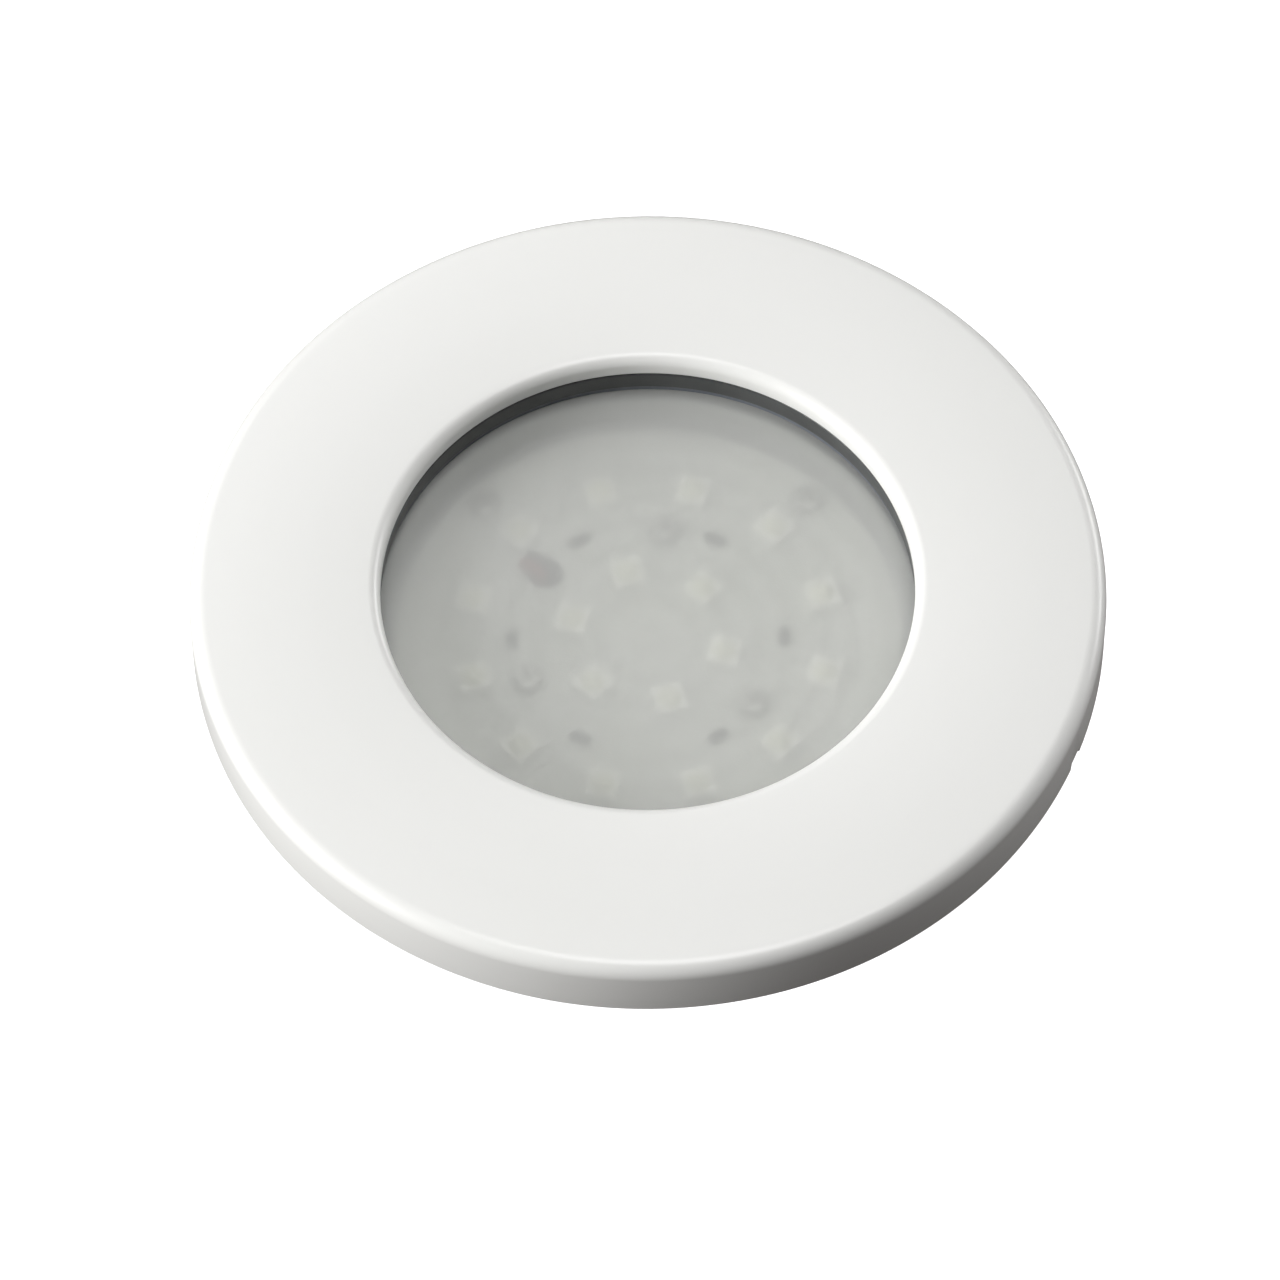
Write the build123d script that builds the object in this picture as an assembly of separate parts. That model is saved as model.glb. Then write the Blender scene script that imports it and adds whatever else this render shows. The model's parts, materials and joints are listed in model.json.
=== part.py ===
from build123d import *

import os

# Underwater pool light with a push-on face ring, in millimetres.
# Z = 0 is the pool wall under the flange, and +Z points out of the wall into the water.
# Names ending in _R are radii, and names ending in _Z, _LOW and _TOP are heights.

# Face ring
BEZEL_R = 75.0
BEZEL_TOP = 11.5
BEZEL_EDGE_ROUND = 2.7
FACE_LOW = 8.5
OPENING_R = 43.75
OPENING_ROUND = 2.0
LIP_R = 46.0
LIP_LOW = 7.4
SKIRT_IN_R = 72.7
COLLAR_IN_R = 69.3
COLLAR_OUT_R = 71.3
COLLAR_LOW = 0.3
FACE_RIB_LOW = 7.7
FACE_RIBS = 12
SKIRT_WEB_LOW = 2.0
SKIRT_WEBS = 24
RIB_WIDTH = 1.4
NOTCH_ANGLE = -23.0
NOTCH_WIDTH = 3.5
NOTCH_HEIGHT = 1.8

# Grip ring in the flange's edge
GRIP_RING_R = 68.5
GRIP_CORD_R = 1.0
GRIP_Z = 3.25
DETENT_CORD_R = 1.1

# Wall gasket, flange and wall screw holes
GASKET_IN_R = 58.0
GASKET_TOP = 1.5
FLANGE_R = 69.0
FLANGE_TOP = 5.0
WALL_HOLE_R = 2.6
WALL_HOLE_CIRCLE_R = 63.0
WALL_HOLES = 4
WALL_HOLE_ANGLE = 45.0

# Barrel, rear cover and rear feet
RECESS_R = 57.3
RECESS_Z = 3.4
SEAT_R = 48.1
SEAT_Z = -2.6
NECK_R = 51.0
NECK_LOW = -6.0
BARREL_R = 47.6
TAPER_LOW = -9.0
CAVITY_R = 44.5
REAR_IN_Z = -31.0
REAR_OUT_Z = -34.0
WELL_R = 18.5
WELL_OUT_R = 21.0
WELL_FLOOR_OUT_Z = -26.0
WELL_FLOOR_IN_Z = -22.0
GLAND_HOLE_R = 8.1
GUSSET_R = 57.0
GUSSET_LOW = -8.0
GUSSET_WIDTH = 2.5
FEET = 8
FOOT_ANGLE = 22.5
FOOT_WIDTH = 3.0
FOOT_LOW = -48.0
FOOT_IN_R = 23.0
FOOT_FLAT_R = 38.0
FOOT_OUT_R = 45.0
FOOT_STEP_Z = -39.0

# Clamp ring, its screws and inserts
CLAMP_IN_R = 44.0
CLAMP_LIP_R = 45.4
CLAMP_LIP_TOP = 7.2
CLAMP_R = 56.8
CLAMP_TOP = 5.4
CLAMP_SCREWS = 6
CLAMP_SCREW_CIRCLE_R = 52.5
BOSS_R = 4.3
BOSS_LOW = -10.0
INSERT_R = 3.0
INSERT_LENGTH = 8.4
INSERT_WAIST_DEPTH = 0.4
INSERT_WAIST_LENGTH = 1.2
CLAMP_SCREW_R = 2.0
CLAMP_SCREW_LENGTH = 11.0
CLAMP_HEAD_R = 3.6
CLAMP_HEAD_HEIGHT = 1.8

# Lens and its gasket
LENS_R = 46.45
LENS_TOP = 2.4
LENS_LOW = -1.6
LENS_CHAMFER = 0.4
LENS_WEB_R = 46.5
LENS_GASKET_R = 48.0
LENS_GASKET_FRONT_R = 44.3
LENS_GASKET_BACK_R = 44.6

# Light engine
LED_BOARD_R = 42.0
LED_BOARD_TOP = -8.0
LED_BOARD_LOW = -9.6
PAD_LOW = -10.1
SPREADER_LOW = -13.1
SPREADER_R = 44.2
LED_SIDE = 5.0
LED_HEIGHT = 1.4
LED_WINDOW_R = 2.1
LED_WINDOW_DEPTH = 0.3
OUTER_LED_CIRCLE_R = 30.0
OUTER_LEDS = 12
OUTER_LED_ANGLE = 15.0
INNER_LED_CIRCLE_R = 13.0
INNER_LEDS = 6
INNER_LED_ANGLE = -15.0
RESISTOR_CIRCLE_R = 22.5
RESISTORS = 6
RESISTOR_LENGTH = 3.2
RESISTOR_WIDTH = 1.6
RESISTOR_HEIGHT = 0.6
BOARD_SCREW_CIRCLE_R = 21.5
BOARD_SCREWS = 3
BOARD_SCREW_ANGLE = -38.0
SPREADER_SCREW_CIRCLE_R = 38.0
SPREADER_SCREWS = 4
SPREADER_SCREW_ANGLE = 45.0
M3_R = 1.5
M3_HOLE_R = 1.7
M3_HEAD_R = 2.75
M3_HEAD_HEIGHT = 1.8
POST_R = 3.5
POST_SCREW_LENGTH = 16.0
BOARD_SCREW_LENGTH = 4.9

# Wires from the driver to the LED board
LEAD_ANGLE = 142.0
LEAD_R = 0.7
LEAD_SPACING = 2.0
LEAD_HOLE_R = 3.0
LEAD_START_R = 28.0
LEAD_END_R = 25.5
LEAD_BEND_R = 1.4
LEAD_CROSS_Z = -15.8
LEAD_OVER_Z = -6.6

# Driver board and what is on it
DRIVER_IN_R = 14.5
DRIVER_R = 33.0
DRIVER_TOP = -19.0
DRIVER_LOW = -20.6
STANDOFFS = 3
STANDOFF_CIRCLE_R = 29.0
STANDOFF_ANGLE = 60.0
STANDOFF_FLATS = 5.0
STANDOFF_STUD_R = 1.2
STANDOFF_STUD_LENGTH = 2.0
M25_R = 1.25
M25_HEAD_R = 2.3
M25_HEAD_HEIGHT = 1.5
M25_LENGTH = 6.0
PART_CIRCLE_R = 25.8
CAPACITOR_ANGLES = (90.0, 112.5)
CAPACITOR_R = 4.0
CAPACITOR_LENGTH = 9.2
CRIMP_R = 3.7
CRIMP_TOP = 1.4
CRIMP_MIDDLE = 1.8
CRIMP_LOW = 2.2
INDUCTOR_ANGLES = (-30.0, 30.0)
INDUCTOR_R = 4.5
INDUCTOR_HEIGHT = 5.5
WINDING_R = 3.8
DRUM_RIM = 1.2
RECTIFIER_ANGLE = -25.0
RECTIFIER_LENGTH = 5.0
RECTIFIER_WIDTH = 6.5
RECTIFIER_LOW = 0.2
RECTIFIER_TOP = 2.7
RECTIFIER_LEG_SPAN = 7.6
RECTIFIER_LEG_WIDTH = 1.0
RECTIFIER_LEG_HEIGHT = 0.5
RECTIFIER_LEG_PITCH = 4.0
CHIP_CIRCLE_R = 24.8
CHIP_ANGLES = (0.0, 40.0, 80.0)
CHIP_LENGTH = 3.9
CHIP_WIDTH = 4.9
CHIP_LOW = 0.15
CHIP_TOP = 1.6
CHIP_LEG_SPAN = 6.0
CHIP_LEG_WIDTH = 0.45
CHIP_LEG_HEIGHT = 0.4
CHIP_LEG_PITCH = 1.27
CHIP_LEGS_PER_SIDE = 4
TERMINAL_CIRCLE_R = 23.8
TERMINAL_ANGLE = -115.0
TERMINAL_LENGTH = 8.0
TERMINAL_WIDTH = 10.4
TERMINAL_HEIGHT = 5.2
TERMINAL_PITCH = 5.0
TERMINAL_CHAMFER = 1.2
TERMINAL_ENTRY_R = 1.3
TERMINAL_ENTRY_X = -3.0
TERMINAL_ENTRY_HEIGHT = 2.0
TERMINAL_ENTRY_DEPTH = 4.0
TERMINAL_SCREW_X = 0.8
TERMINAL_WELL_R = 1.6
TERMINAL_WELL_LOW = 3.6
TERMINAL_SCREW_R = 1.5
TERMINAL_SCREW_HEIGHT = 1.2
TERMINAL_SLOT_WIDTH = 0.5
TERMINAL_SLOT_DEPTH = 0.6

# Cable gland
HEX_FLATS = 22.0
THREAD_GAP = 0.05
GLAND_TOP = -17.5
GLAND_STUB_R = 8.0
GLAND_BORE_R = 4.2
GLAND_HEX_TOP = -26.8
GLAND_HEX_LOW = -30.8
GLAND_LOW = -38.0
GLAND_OUT_R = 9.2
POCKET_R = 6.6
POCKET_TOP = -31.5
WASHER_R = 11.0
LOCKNUT_TOP = -18.0
SEAL_R = 6.5
CABLE_R = 3.6
CLAW_BORE_R = 3.9
CLAW_LOW = -41.0
CLAW_SLITS = 6
CLAW_SLIT_WIDTH = 0.8
CLAW_SLIT_TOP = -38.9
CLAW_CHAMFER = 0.9
NUT_TOP = -33.0
NUT_HEX_LOW = -42.0
NUT_LOW = -44.5
NUT_SHOULDER_Z = -41.3
NUT_DOME_R = 10.6
NUT_DOME_TIP_R = 8.0
NUT_THREAD_LOW = -39.6
NUT_SHOULDER_R = 7.2

RUNNING_GAP = 0.02
OVERLAP = 0.3

# Pan head screws: shares of the head's height, the shank's radius and the head's radius
HEAD_ROUND_SHARE = 0.6
TIP_SHARE = 0.3
RECESS_LENGTH_SHARE = 1.1
RECESS_WIDTH_SHARE = 0.24


def disc(radius, low, top):
    """Upright cylinder on the Z axis between two heights."""
    bottom = (Align.CENTER, Align.CENTER, Align.MIN)
    return Pos(0, 0, low) * Cylinder(radius, top - low, align=bottom)


def ring(inner, outer, low, top):
    """Flat ring on the Z axis."""
    return disc(outer, low, top) - disc(inner, low - 1, top + 1)


def block(length, width, low, top):
    """Upright box centred on the Z axis."""
    bottom = (Align.CENTER, Align.CENTER, Align.MIN)
    return Pos(0, 0, low) * Box(length, width, top - low, align=bottom)


def hexagon(across_flats, low, top):
    """Upright hexagonal prism on the Z axis."""
    face = Pos(0, 0, low) * RegularPolygon(across_flats / 2, 6, major_radius=False)
    return extrude(face, amount=top - low)


def turned(outline):
    """Solid turned about Z from a closed outline of (radius, height, rounding) corners."""
    corners = [(r, z) for r, z, rounding in outline]
    roundings = [rounding for r, z, rounding in outline]
    path = FilletPolyline(*corners, radius=roundings, close=True)
    return revolve(make_face(Plane.XZ * path), Axis.Z, 360)


def upright_plate(outline, width):
    """Plate standing in the XZ plane, with an outline of (radius, height) corners."""
    face = make_face(Plane.XZ * Polyline(*outline, close=True))
    return extrude(face, amount=width / 2, both=True)


def at_angles(radius, angles):
    """Places on a circle, each with its own X axis pointing outwards."""
    return [Rot(0, 0, angle) * Pos(radius, 0, 0) for angle in angles]


def around(radius, count, first=0.0):
    """Places evenly spaced on a circle."""
    return at_angles(radius, [first + 360 / count * i for i in range(count)])


def together(solids):
    """Identical separate pieces as one group."""
    return Compound(children=list(solids))


def cut_all(body, tool, places):
    """Body with the same tool cut out at each place."""
    for place in places:
        body -= place * tool
    return body


def pan_screw(shank_r, shank_length, head_r, head_height, seat_z):
    """Pan head screw with a cross recess, its head resting on seat_z and its tip pointing down."""
    top = seat_z + head_height
    head = turned(
        [
            (0, seat_z, 0),
            (head_r, seat_z, 0),
            (head_r, top, head_height * HEAD_ROUND_SHARE),
            (0, top, 0),
        ]
    )
    tip = shank_r * TIP_SHARE
    shank = turned(
        [
            (0, seat_z + OVERLAP, 0),
            (shank_r, seat_z + OVERLAP, 0),
            (shank_r, seat_z - shank_length + tip, 0),
            (shank_r - tip, seat_z - shank_length, 0),
            (0, seat_z - shank_length, 0),
        ]
    )
    slot_low = top - head_height * HEAD_ROUND_SHARE
    slot = block(head_r * RECESS_LENGTH_SHARE, head_r * RECESS_WIDTH_SHARE, slot_low, top + 1)
    return head + shank - slot - Rot(0, 0, 90) * slot


def bezel():
    """White face ring: face plate, skirt, grip collar and the ribs that join them."""
    shell = turned(
        [
            (BEZEL_R, 0, 0.5),
            (BEZEL_R, BEZEL_TOP, BEZEL_EDGE_ROUND),
            (OPENING_R, BEZEL_TOP, OPENING_ROUND),
            (OPENING_R, LIP_LOW, 0.5),
            (LIP_R, LIP_LOW, 0.4),
            (LIP_R, FACE_LOW, 0),
            (COLLAR_IN_R, FACE_LOW, 0),
            (COLLAR_IN_R, COLLAR_LOW, 0.6),
            (COLLAR_OUT_R, COLLAR_LOW, 0.4),
            (COLLAR_OUT_R, FACE_LOW, 0),
            (SKIRT_IN_R, FACE_LOW, 0),
            (SKIRT_IN_R, 0, 0.4),
        ]
    )
    shell -= Pos(0, 0, GRIP_Z) * Torus(GRIP_RING_R, DETENT_CORD_R)
    rib_length = COLLAR_IN_R - LIP_R + 2 * OVERLAP
    rib = block(rib_length, RIB_WIDTH, FACE_RIB_LOW, FACE_LOW + OVERLAP)
    for place in around((COLLAR_IN_R + LIP_R) / 2, FACE_RIBS):
        shell += place * rib
    web_length = SKIRT_IN_R - COLLAR_OUT_R + 2 * OVERLAP
    web = block(web_length, RIB_WIDTH, SKIRT_WEB_LOW, FACE_LOW + OVERLAP)
    for place in around((SKIRT_IN_R + COLLAR_OUT_R) / 2, SKIRT_WEBS):
        shell += place * web
    notch_length = BEZEL_R - SKIRT_IN_R + 2
    notch = block(notch_length, NOTCH_WIDTH, -1, NOTCH_HEIGHT)
    return cut_all(shell, notch, at_angles((BEZEL_R + SKIRT_IN_R) / 2, [NOTCH_ANGLE]))


def bezel_grip_ring():
    """O-ring that the face ring's collar grips."""
    return Pos(0, 0, GRIP_Z) * Torus(GRIP_RING_R, GRIP_CORD_R)


def wall_hole_places():
    return around(WALL_HOLE_CIRCLE_R, WALL_HOLES, WALL_HOLE_ANGLE)


def wall_gasket():
    """Flat rubber ring between the flange and the pool wall."""
    gasket = ring(GASKET_IN_R, FLANGE_R, 0, GASKET_TOP)
    return cut_all(gasket, disc(WALL_HOLE_R, -1, GASKET_TOP + 1), wall_hole_places())


def clamp_screw_places():
    return around(CLAMP_SCREW_CIRCLE_R, CLAMP_SCREWS)


def spreader_screw_places():
    return around(SPREADER_SCREW_CIRCLE_R, SPREADER_SCREWS, SPREADER_SCREW_ANGLE)


def standoff_places():
    return around(STANDOFF_CIRCLE_R, STANDOFFS, STANDOFF_ANGLE)


def insert_holes(body):
    """Body with the holes for the brass inserts and the tips of the clamp screws."""
    insert_hole = disc(INSERT_R, RECESS_Z - INSERT_LENGTH, RECESS_Z + 1)
    tip_hole = disc(CLAMP_SCREW_R + 0.3, BOSS_LOW + 2, RECESS_Z)
    return cut_all(body, insert_hole + tip_hole, clamp_screw_places())


def flange():
    """Wall flange, with a recess for the clamp ring and a groove for the grip ring."""
    groove_top = GRIP_Z + GRIP_CORD_R
    groove_low = GRIP_Z - GRIP_CORD_R
    groove_r = GRIP_RING_R - GRIP_CORD_R
    body = turned(
        [
            (SEAT_R, GASKET_TOP, 0),
            (SEAT_R, RECESS_Z, 0),
            (RECESS_R, RECESS_Z, 0),
            (RECESS_R, FLANGE_TOP, 0.3),
            (FLANGE_R, FLANGE_TOP, 0.3),
            (FLANGE_R, groove_top, 0),
            (groove_r, groove_top, 0),
            (groove_r, groove_low, 0),
            (FLANGE_R, groove_low, 0),
            (FLANGE_R, GASKET_TOP, 0),
        ]
    )
    wall_hole = disc(WALL_HOLE_R, GASKET_TOP - 1, FLANGE_TOP + 1)
    return cut_all(insert_holes(body), wall_hole, wall_hole_places())


def barrel():
    """Watertight tube under the flange, with a seat for the lens, screw bosses and gussets."""
    body = turned(
        [
            (CAVITY_R, REAR_OUT_Z, 0),
            (CAVITY_R, SEAT_Z, 0),
            (SEAT_R, SEAT_Z, 0),
            (SEAT_R, GASKET_TOP, 0),
            (NECK_R, GASKET_TOP, 0),
            (NECK_R, NECK_LOW, 0),
            (BARREL_R, TAPER_LOW, 0),
            (BARREL_R, REAR_OUT_Z, 1.5),
        ]
    )
    boss = turned(
        [
            (0, BOSS_LOW, 0),
            (BOSS_R, BOSS_LOW, 1.0),
            (BOSS_R, GASKET_TOP, 0),
            (0, GASKET_TOP, 0),
        ]
    )
    for place in clamp_screw_places():
        body += place * boss
    gusset = upright_plate(
        [
            (NECK_R - 1, GASKET_TOP),
            (GUSSET_R, GASKET_TOP),
            (NECK_R - 1, GUSSET_LOW),
        ],
        GUSSET_WIDTH,
    )
    for place in around(0, CLAMP_SCREWS, 180 / CLAMP_SCREWS):
        body += place * gusset
    return insert_holes(body)


def rear_cover():
    """Welded-in rear cover with the gland well and the posts for the spreader's screws."""
    body = turned(
        [
            (CAVITY_R, REAR_IN_Z, 0),
            (CAVITY_R, REAR_OUT_Z, 0),
            (WELL_R, REAR_OUT_Z, 1.0),
            (WELL_R, WELL_FLOOR_OUT_Z, 0),
            (GLAND_HOLE_R, WELL_FLOOR_OUT_Z, 0),
            (GLAND_HOLE_R, WELL_FLOOR_IN_Z, 0),
            (WELL_OUT_R, WELL_FLOOR_IN_Z, 1.0),
            (WELL_OUT_R, REAR_IN_Z, 0),
        ]
    )
    post = disc(POST_R, REAR_IN_Z - OVERLAP, SPREADER_LOW)
    web_length = CAVITY_R - SPREADER_SCREW_CIRCLE_R - OVERLAP
    web = Pos(web_length / 2, 0, 0) * block(
        web_length, GUSSET_WIDTH, REAR_IN_Z - OVERLAP, SPREADER_LOW
    )
    for place in spreader_screw_places():
        body += place * (post + web)
    post_hole_low = LED_BOARD_TOP - POST_SCREW_LENGTH - 1
    post_hole = disc(M3_R + RUNNING_GAP, post_hole_low, SPREADER_LOW + 1)
    body = cut_all(body, post_hole, spreader_screw_places())
    stud_hole = disc(STANDOFF_STUD_R, REAR_IN_Z - STANDOFF_STUD_LENGTH, REAR_IN_Z + 1)
    return cut_all(body, stud_hole, standoff_places())


def rear_feet():
    """Upright fins moulded on the rear cover, which guard the gland."""
    foot = upright_plate(
        [
            (FOOT_IN_R, REAR_OUT_Z),
            (FOOT_IN_R, FOOT_LOW),
            (FOOT_FLAT_R, FOOT_LOW),
            (FOOT_OUT_R, FOOT_STEP_Z),
            (FOOT_OUT_R, REAR_OUT_Z),
        ],
        FOOT_WIDTH,
    )
    return together(place * foot for place in around(0, FEET, FOOT_ANGLE))


def clamp_ring():
    """Black ring that presses the lens gasket down, with an upright lip round the opening."""
    body = turned(
        [
            (CLAMP_IN_R, RECESS_Z, 0.3),
            (CLAMP_R, RECESS_Z, 0),
            (CLAMP_R, CLAMP_TOP, 0.5),
            (CLAMP_LIP_R, CLAMP_TOP, 0.5),
            (CLAMP_LIP_R, CLAMP_LIP_TOP, 0.3),
            (CLAMP_IN_R, CLAMP_LIP_TOP, 0.5),
        ]
    )
    hole = disc(CLAMP_SCREW_R + 0.25, RECESS_Z - 1, CLAMP_TOP + 1)
    return cut_all(body, hole, clamp_screw_places())


def clamp_screws():
    screw = pan_screw(
        CLAMP_SCREW_R - RUNNING_GAP,
        CLAMP_SCREW_LENGTH,
        CLAMP_HEAD_R,
        CLAMP_HEAD_HEIGHT,
        CLAMP_TOP,
    )
    return together(place * screw for place in clamp_screw_places())


def screw_inserts():
    """Brass inserts with a waist, moulded into the screw bosses."""
    low = RECESS_Z - INSERT_LENGTH
    middle = (RECESS_Z + low) / 2
    half = INSERT_WAIST_LENGTH / 2
    waist = ring(INSERT_R - INSERT_WAIST_DEPTH, INSERT_R + 1, middle - half, middle + half)
    insert = ring(CLAMP_SCREW_R, INSERT_R, low, RECESS_Z) - waist
    return together(place * insert for place in clamp_screw_places())


def lens():
    """Frosted toughened glass disc."""
    return turned(
        [
            (0, LENS_LOW, 0),
            (LENS_R - LENS_CHAMFER, LENS_LOW, 0),
            (LENS_R, LENS_LOW + LENS_CHAMFER, 0),
            (LENS_R, LENS_TOP - LENS_CHAMFER, 0),
            (LENS_R - LENS_CHAMFER, LENS_TOP, 0),
            (0, LENS_TOP, 0),
        ]
    )


def lens_gasket():
    """Rubber channel that wraps the rim of the lens."""
    return turned(
        [
            (LENS_GASKET_FRONT_R, LENS_TOP, 0),
            (LENS_WEB_R, LENS_TOP, 0),
            (LENS_WEB_R, LENS_LOW, 0),
            (LENS_GASKET_BACK_R, LENS_LOW, 0),
            (LENS_GASKET_BACK_R, SEAT_Z, 0),
            (LENS_GASKET_R, SEAT_Z, 0),
            (LENS_GASKET_R, RECESS_Z, 0),
            (LENS_GASKET_FRONT_R, RECESS_Z, 0.3),
        ]
    )


def led_places():
    outer = around(OUTER_LED_CIRCLE_R, OUTER_LEDS, OUTER_LED_ANGLE)
    inner = around(INNER_LED_CIRCLE_R, INNER_LEDS, INNER_LED_ANGLE)
    return outer + inner


def board_screw_places():
    return around(BOARD_SCREW_CIRCLE_R, BOARD_SCREWS, BOARD_SCREW_ANGLE)


def engine_layer(radius, low, top, board_hole_r):
    """One disc of the light engine, with its screw holes and the hole for the wires."""
    layer = disc(radius, low, top)
    layer = cut_all(layer, disc(M3_HOLE_R, low - 1, top + 1), spreader_screw_places())
    layer = cut_all(layer, disc(board_hole_r, low - 1, top + 1), board_screw_places())
    lead_hole = disc(LEAD_HOLE_R, low - 1, top + 1)
    return cut_all(layer, lead_hole, at_angles(BOARD_SCREW_CIRCLE_R, [LEAD_ANGLE]))


def led_board():
    return engine_layer(LED_BOARD_R, LED_BOARD_LOW, LED_BOARD_TOP, M3_HOLE_R)


def thermal_pad():
    return engine_layer(LED_BOARD_R, PAD_LOW, LED_BOARD_LOW, M3_HOLE_R)


def heat_spreader():
    return engine_layer(SPREADER_R, SPREADER_LOW, PAD_LOW, M3_R + RUNNING_GAP)


def led_packages():
    """Square white LED bodies, each with a round well in its face."""
    top = LED_BOARD_TOP + LED_HEIGHT
    well = disc(LED_WINDOW_R, top - LED_WINDOW_DEPTH, top + 1)
    package = block(LED_SIDE, LED_SIDE, LED_BOARD_TOP, top) - well
    return together(place * package for place in led_places())


def led_windows():
    """Clear resin that fills the wells of the LEDs."""
    top = LED_BOARD_TOP + LED_HEIGHT
    window = disc(LED_WINDOW_R, top - LED_WINDOW_DEPTH, top)
    return together(place * window for place in led_places())


def led_resistors():
    top = LED_BOARD_TOP + RESISTOR_HEIGHT
    chip = block(RESISTOR_WIDTH, RESISTOR_LENGTH, LED_BOARD_TOP, top)
    return together(place * chip for place in around(RESISTOR_CIRCLE_R, RESISTORS))


def led_board_screws():
    screw = pan_screw(M3_R, BOARD_SCREW_LENGTH, M3_HEAD_R, M3_HEAD_HEIGHT, LED_BOARD_TOP)
    return together(place * screw for place in board_screw_places())


def spreader_screws():
    screw = pan_screw(M3_R, POST_SCREW_LENGTH, M3_HEAD_R, M3_HEAD_HEIGHT, LED_BOARD_TOP)
    return together(place * screw for place in spreader_screw_places())


def led_lead(side):
    """Wire from the driver board, through the spreader and over onto the LED board."""
    path = FilletPolyline(
        (LEAD_START_R, DRIVER_TOP),
        (LEAD_START_R, LEAD_CROSS_Z),
        (BOARD_SCREW_CIRCLE_R, LEAD_CROSS_Z),
        (BOARD_SCREW_CIRCLE_R, LEAD_OVER_Z),
        (LEAD_END_R, LEAD_OVER_Z),
        (LEAD_END_R, LED_BOARD_TOP),
        radius=[LEAD_BEND_R, LEAD_BEND_R, LEAD_BEND_R, LEAD_R + 0.1],
    )
    route = Plane.XZ * path
    start = Pos(LEAD_START_R, 0, DRIVER_TOP) * Circle(LEAD_R)
    wire = sweep(start, path=route)
    return Rot(0, 0, LEAD_ANGLE) * Pos(0, side * LEAD_SPACING / 2, 0) * wire


def led_lead_red():
    return led_lead(1)


def led_lead_black():
    return led_lead(-1)


def driver_board():
    """Ring-shaped circuit board round the cable gland."""
    board = ring(DRIVER_IN_R, DRIVER_R, DRIVER_LOW, DRIVER_TOP)
    return cut_all(board, disc(M25_R + 0.1, DRIVER_LOW - 1, DRIVER_TOP + 1), standoff_places())


def board_standoffs():
    """Hexagonal brass pillars with a stud pressed into the rear cover."""
    pillar = hexagon(STANDOFF_FLATS, REAR_IN_Z, DRIVER_LOW)
    pillar += disc(STANDOFF_STUD_R, REAR_IN_Z - STANDOFF_STUD_LENGTH + 0.1, REAR_IN_Z + OVERLAP)
    pillar -= disc(M25_R + RUNNING_GAP, DRIVER_TOP - M25_LENGTH - 1, DRIVER_LOW + 1)
    return together(place * pillar for place in standoff_places())


def driver_screws():
    screw = pan_screw(M25_R, M25_LENGTH, M25_HEAD_R, M25_HEAD_HEIGHT, DRIVER_TOP)
    return together(place * screw for place in standoff_places())


def capacitors():
    """Two electrolytic cans hanging from the driver board, each with a crimped groove."""
    low = DRIVER_LOW - CAPACITOR_LENGTH
    can = turned(
        [
            (0, low, 0),
            (CAPACITOR_R, low, 0.5),
            (CAPACITOR_R, DRIVER_LOW - CRIMP_LOW, 0.2),
            (CRIMP_R, DRIVER_LOW - CRIMP_MIDDLE, 0.2),
            (CAPACITOR_R, DRIVER_LOW - CRIMP_TOP, 0.2),
            (CAPACITOR_R, DRIVER_LOW, 0),
            (0, DRIVER_LOW, 0),
        ]
    )
    return together(place * can for place in at_angles(PART_CIRCLE_R, CAPACITOR_ANGLES))


def inductors():
    """Two wound drum cores under the driver board."""
    low = DRIVER_LOW - INDUCTOR_HEIGHT
    drum = turned(
        [
            (0, low, 0),
            (INDUCTOR_R, low, 0.2),
            (INDUCTOR_R, low + DRUM_RIM, 0.2),
            (WINDING_R, low + DRUM_RIM, 0),
            (WINDING_R, DRIVER_LOW - DRUM_RIM, 0),
            (INDUCTOR_R, DRIVER_LOW - DRUM_RIM, 0.2),
            (INDUCTOR_R, DRIVER_LOW, 0),
            (0, DRIVER_LOW, 0),
        ]
    )
    return together(place * drum for place in at_angles(PART_CIRCLE_R, INDUCTOR_ANGLES))


def rectifier():
    """Bridge rectifier with four short legs."""
    low = DRIVER_TOP + RECTIFIER_LOW
    top = DRIVER_TOP + RECTIFIER_TOP
    body = block(RECTIFIER_LENGTH, RECTIFIER_WIDTH, low, top)
    body = fillet(body.edges().filter_by(Axis.Z), 0.4)
    leg_top = DRIVER_TOP + RECTIFIER_LEG_HEIGHT
    leg = block(RECTIFIER_LEG_SPAN, RECTIFIER_LEG_WIDTH, DRIVER_TOP, leg_top)
    for side in (-1, 1):
        body += Pos(0, side * RECTIFIER_LEG_PITCH / 2, 0) * leg
    return at_angles(PART_CIRCLE_R, [RECTIFIER_ANGLE])[0] * body


def driver_chips():
    """Eight-legged chips on the driver board."""
    chip = block(CHIP_LENGTH, CHIP_WIDTH, DRIVER_TOP + CHIP_LOW, DRIVER_TOP + CHIP_TOP)
    leg = block(CHIP_LEG_SPAN, CHIP_LEG_WIDTH, DRIVER_TOP, DRIVER_TOP + CHIP_LEG_HEIGHT)
    middle_row = (CHIP_LEGS_PER_SIDE - 1) / 2
    for row in range(CHIP_LEGS_PER_SIDE):
        chip += Pos(0, (row - middle_row) * CHIP_LEG_PITCH, 0) * leg
    return together(place * chip for place in at_angles(CHIP_CIRCLE_R, CHIP_ANGLES))


def terminal_place():
    return at_angles(TERMINAL_CIRCLE_R, [TERMINAL_ANGLE])[0]


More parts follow.
